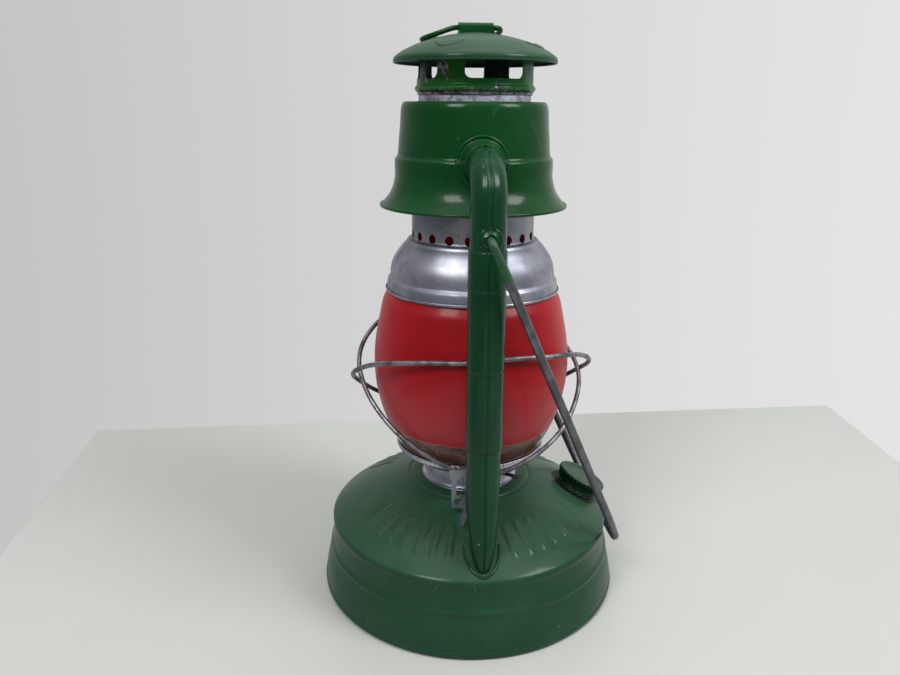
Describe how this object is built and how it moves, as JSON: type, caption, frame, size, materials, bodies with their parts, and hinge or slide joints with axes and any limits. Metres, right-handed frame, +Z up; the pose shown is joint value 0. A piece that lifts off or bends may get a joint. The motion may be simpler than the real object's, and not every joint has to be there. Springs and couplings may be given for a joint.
{
  "type": "cold-blast tubular kerosene lantern",
  "caption": "Enamelled kerosene lantern with air tubes at the sides, a red glass globe in a wire guard, a sprung chimney, a filler cap and a swinging wire bail.",
  "frame": {"origin": "centre of the circle on which the fount's foot stands", "axes": "+Z up along the lamp's axis; the air tubes stand on +X and -X; the filler cap is on +Y"},
  "size_m": [0.1726, 0.1747, 0.3114],
  "materials": {
    "green_enamel": "gloss enamel, worn",
    "tinned_steel": "dull tinned, mottled",
    "zinc_wire": "dark zinc, dull",
    "brass": "tarnished",
    "red_glass": "red coat on clear blown glass",
    "cork": "cork",
    "cotton": "woven flat wick"
  },
  "bodies": {
    "frame": {"fount_body": "green_enamel", "fount_bottom": "green_enamel", "filler_neck": "tinned_steel", "burner_collar": "brass", "burner_cup": "tinned_steel", "burner_cone": "brass", "wick_tube": "brass", "tube_foot_right": "green_enamel", "tube_foot_left": "green_enamel", "air_tube_right": "green_enamel", "air_tube_left": "green_enamel", "tube_elbow_right": "green_enamel", "tube_elbow_left": "green_enamel", "tube_collar_right": "green_enamel", "tube_collar_left": "green_enamel", "bail_ear_right": "green_enamel", "bail_ear_left": "green_enamel", "canopy": "green_enamel", "crank_bracket": "zinc_wire", "chimney_spring": "zinc_wire"},
    "globe_carrier": {"globe_plate": "tinned_steel", "globe": "red_glass", "guard_wire_right": "zinc_wire", "guard_wire_left": "zinc_wire", "lift_link": "tinned_steel"},
    "chimney_stack": {"bell": "tinned_steel", "chimney": "tinned_steel", "crown_ring": "green_enamel", "cap": "green_enamel", "cap_strap": "green_enamel"},
    "lift_ring": {"lift_ring": "green_enamel"},
    "crank": {"lift_crank": "tinned_steel"},
    "bail": {"bail": "zinc_wire"},
    "wick_raiser": {"wick_shaft": "zinc_wire"},
    "wick": {"wick": "cotton"},
    "filler_seal": {"filler_gasket": "cork"},
    "filler_cap": {"filler_cap": "green_enamel"}
  },
  "joints": [
    {"name": "bail_swing", "type": "hinge", "parent": "frame", "child": "bail", "pos_m": [0, 0, 0.2145], "axis": [1, 0, 0], "range_deg": [0, 311]},
    {"name": "globe_lift", "type": "slide", "parent": "frame", "child": "globe_carrier", "axis": [0, 0, 1], "range_m": [0, 0.012]},
    {"name": "crank_turn", "type": "hinge", "parent": "frame", "child": "crank", "pos_m": [0.05, -0.004, 0.0755], "axis": [-1, 0, 0], "range_deg": [0, 120]},
    {"name": "chimney_lift", "type": "slide", "parent": "globe_carrier", "child": "chimney_stack", "axis": [0, 0, 1], "range_m": [0, 0.02], "stiffness_N_per_m": 150, "springref_m": -0.01, "deforming": ["chimney_spring"]},
    {"name": "ring_pivot", "type": "hinge", "parent": "chimney_stack", "child": "lift_ring", "pos_m": [0, 0, 0.309], "axis": [0, 1, 0], "range_deg": [0, 196]},
    {"name": "wick_turn", "type": "hinge", "parent": "frame", "child": "wick_raiser", "pos_m": [0.00401, -0.00281, 0.071], "axis": [0.5736, 0.8192, 0], "range_deg": [0, 107]},
    {"name": "wick_lift", "type": "slide", "parent": "frame", "child": "wick", "axis": [0, 0, 1], "range_m": [0, 0.006]},
    {"name": "filler_lift", "type": "slide", "parent": "frame", "child": "filler_seal", "axis": [0, 0.4384, 0.8988], "range_m": [0, 0.009]},
    {"name": "filler_turn", "type": "hinge", "parent": "filler_seal", "child": "filler_cap", "pos_m": [0, 0.0643, 0.0491], "axis": [0, 0.4384, 0.8988], "range_deg": [0, 1080]}
  ],
  "couplings": [
    {"joint": "crank_turn", "follows": "globe_lift", "rad_per_m": 174.5},
    {"joint": "wick_turn", "follows": "wick_lift", "rad_per_m": 311.2},
    {"joint": "filler_turn", "follows": "filler_lift", "rad_per_m": 2094.4}
  ]
}
